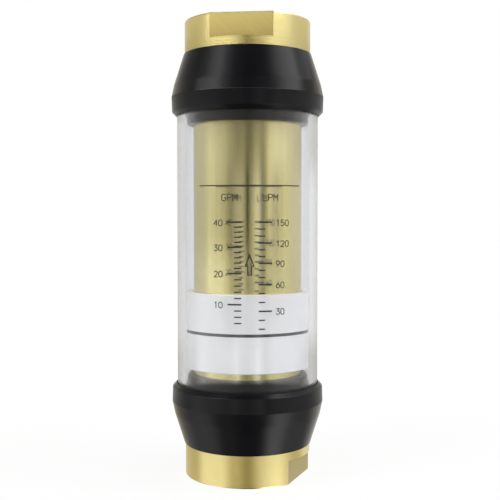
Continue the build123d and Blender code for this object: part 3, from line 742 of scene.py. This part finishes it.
# Belts of panels, gaps and flags round the meter, from the lowest to the highest: the rise over
# which a belt takes over from the one below, its tint, and its light against the bearing in
# degrees, 0 towards the camera and positive to the right. White panels are 1 and over, flags
# and the dark round the camera 0.5 and under. The highest but one is the fill light.
belts = [
    (-0.96, -0.9, plain_tint,
     {-180: 0.5, -105: 0.8, -80: 1.45, -65: 1.35, -50: 0.45, -30: 0.5, -15: 0.2, 0: 0.1,
      20: 0.15, 30: 0.4, 50: 4.0, 65: 3.4, 80: 1.4, 120: 0.5, 180: 0.5}),
    (-0.55, -0.35, warm_tint,
     {-180: 0.8, -125: 0.7, -105: 0.7, -88: 1.25, -45: 1.3, -28: 0.65, -15: 0.6, 0: 0.33,
      12: 0.55, 28: 1.15, 60: 1.4, 90: 0.65, 108: 0.65, 130: 1.1, 180: 0.8}),
    (-0.255, -0.235, plain_tint,
     {-180: 0.6, -120: 0.45, -90: 0.45, -40: 0.32, 0: 0.2, 30: 0.28, 60: 0.5, 180: 0.6}),
    (-0.191, -0.186, plain_tint,
     {-180: 0.55, -120: 0.8, -100: 0.55, -80: 1.9, -60: 1.5, -30: 1.15, -18: 1.9, -10: 0.8,
      0: 0.45, 10: 0.9, 18: 1.9, 30: 0.4, 45: 1.35, 80: 1.2, 100: 0.75, 180: 0.55}),
    (-0.165, -0.12, plain_tint,
     {-180: 0.75, -120: 0.85, -100: 0.95, -82: 1.6, -45: 1.35, -30: 0.7, -18: 0.7, -8: 1.0,
      0: 0.55, 8: 0.65, 18: 1.0, 30: 0.45, 40: 0.95, 82: 1.1, 130: 0.95, 180: 0.75}),
    (-0.07, -0.02, plain_tint,
     {-180: 0.75, -100: 0.8, -82: 1.2, -45: 0.7, -32: 0.3, -18: 0.8, -8: 0.75, 0: 0.0,
      8: 0.65, 20: 1.3, 31: 0.2, 45: 1.15, 58: 0.65, 80: 1.2, 120: 1.0, 180: 0.75}),
    (0.025, 0.075, plain_tint,
     {-180: 0.7, -100: 0.85, -82: 1.3, -50: 0.98, -32: 0.65, -18: 0.42, -8: 0.48, 0: 0.32,
      8: 0.36, 18: 0.65, 32: 0.5, 46: 1.5, 80: 1.32, 100: 1.05, 140: 0.7, 180: 0.7}),
    (0.1, 0.105, plain_tint,
     {-180: 0.6, -140: 0.65, -115: 0.95, -100: 0.9, -85: 0.55, -50: 0.35, 0: 0.2, 45: 0.4,
      75: 0.65, 95: 0.9, 115: 1.0, 140: 0.65, 180: 0.6}),
    (0.116, 0.122, plain_tint,
     {-180: 0.3, -110: 0.1, 0: 0.06, 90: 0.15, 120: 0.35, 180: 0.3}),
    (0.165, 0.185, warm_tint,
     {-180: 0.85, -150: 0.8, -75: 0.86, -58: 0.66, -44: 0.55, -18: 0.73, -10: 0.44, -2: 0.17,
      5: 0.14, 14: 0.42, 28: 0.44, 42: 0.95, 88: 1.0, 120: 0.85, 180: 0.85}),
    (0.29, 0.34, plain_tint,
     {-180: 0.6, -90: 0.5, -75: 11.5, -45: 11.5, 0: 3.0, 45: 8.5, 75: 8.5, 90: 0.5, 180: 0.6}),
    (0.37, 0.43, plain_tint,
     {-180: 0.45, -95: 0.4, -80: 0.95, -65: 2.8, -52: 3.9, -40: 1.5, -25: 0.35, 0: 0.06,
      25: 0.15, 38: 0.3, 50: 1.6, 65: 3.6, 90: 4.2, 103: 1.2, 180: 0.45}),
]

world = bpy.data.worlds.new("studio_tent")
world.use_nodes = True
bpy.context.scene.world = world
tree = world.node_tree
tree.nodes.clear()
way = add_node(tree, "ShaderNodeTexCoord").outputs["Generated"]
way_part = add_node(tree, "ShaderNodeSeparateXYZ", links={"Vector": way}).outputs
front = add_node(tree, "ShaderNodeMath", {1: -1.0}, {0: way_part[1]},
                 operation="MULTIPLY").outputs[0]
bearing = add_node(tree, "ShaderNodeMath", links={0: way_part[0], 1: front},
                   operation="ARCTAN2").outputs[0]
round_share = add_node(tree, "ShaderNodeMapRange",
                       {"From Min": -np.pi, "From Max": np.pi}, {"Value": bearing}).outputs[0]


def tent_band(levels, tints):
    """The colour of one belt all round, from its levels against the bearing in degrees."""
    ramp = add_node(tree, "ShaderNodeValToRGB", links={"Fac": round_share})
    stops = ramp.color_ramp.elements
    while len(stops) < len(levels):
        stops.new(0.5)
    for stop, (bearing_degrees, level) in zip(stops, sorted(levels.items())):
        stop.position = bearing_degrees / 360 + 0.5
        stop.color = [level * (base + gain * min(level, 1.0)) for base, gain in zip(*tints)] + [1]
    return ramp.outputs["Color"]


def blended(lower, upper, start, end):
    """Two belts of the tent mixed over a range of the direction's rise (sine of elevation)."""
    share = add_node(tree, "ShaderNodeMapRange", {"From Min": start, "From Max": end},
                     {"Value": way_part[2]}, interpolation_type="SMOOTHSTEP").outputs[0]
    return add_node(tree, "ShaderNodeMix", links={0: share, 6: lower, 7: upper},
                    data_type="RGBA").outputs[2]


dark_cloth = add_node(tree, "ShaderNodeRGB")
dark_cloth.outputs[0].default_value = (cloth_level, cloth_level, cloth_level, 1)
tent_light = dark_cloth.outputs[0]
for start, end, tints, levels in belts:
    tent_light = blended(tent_light, tent_band(levels, tints), start, end)
tent_light = blended(tent_light, dark_cloth.outputs[0], cloth_start, cloth_end)
tent_glow = add_node(tree, "ShaderNodeBackground", {"Strength": 1.0}, {"Color": tent_light})
backdrop = add_node(tree, "ShaderNodeBackground",
                    {"Color": linear("#FFFFFF"), "Strength": 1.0})
rays = add_node(tree, "ShaderNodeLightPath").outputs
bounces = add_node(tree, "ShaderNodeMath",
                   links={0: rays["Glossy Depth"], 1: rays["Diffuse Depth"]}).outputs[0]
straight = add_node(tree, "ShaderNodeMath", {1: 0.5}, {0: bounces},
                    operation="LESS_THAN").outputs[0]
clear_view = add_node(tree, "ShaderNodeMath", links={0: straight, 1: rays["Is Transmission Ray"]},
                      operation="MULTIPLY").outputs[0]
seen = add_node(tree, "ShaderNodeMath", links={0: rays["Is Camera Ray"], 1: clear_view},
                operation="MAXIMUM").outputs[0]
sky = add_node(tree, "ShaderNodeMixShader",
               links={0: seen, 1: tent_glow.outputs[0], 2: backdrop.outputs[0]})
add_node(tree, "ShaderNodeOutputWorld", links={"Surface": sky.outputs[0]})

# ---------------------------------------------------------------------------------- camera
# A normal lens 0.36 m in front of the meter, a little above its middle and looking down by
# two degrees, as the photograph's ellipses say.
camera_place = (1.014, -362.3, 105.72)
camera_pitch = 2.284
focal_length, sensor_width = 63.76, 36.0
camera = bpy.data.objects.new("camera", bpy.data.cameras.new("camera"))
camera.data.lens = focal_length
camera.data.sensor_width = sensor_width
camera.location = [v * MM for v in camera_place]
camera.rotation_euler = (np.radians(90 - camera_pitch), 0, 0)
bpy.context.scene.collection.objects.link(camera)
bpy.context.scene.camera = camera
bpy.context.scene.view_settings.view_transform = "Standard"
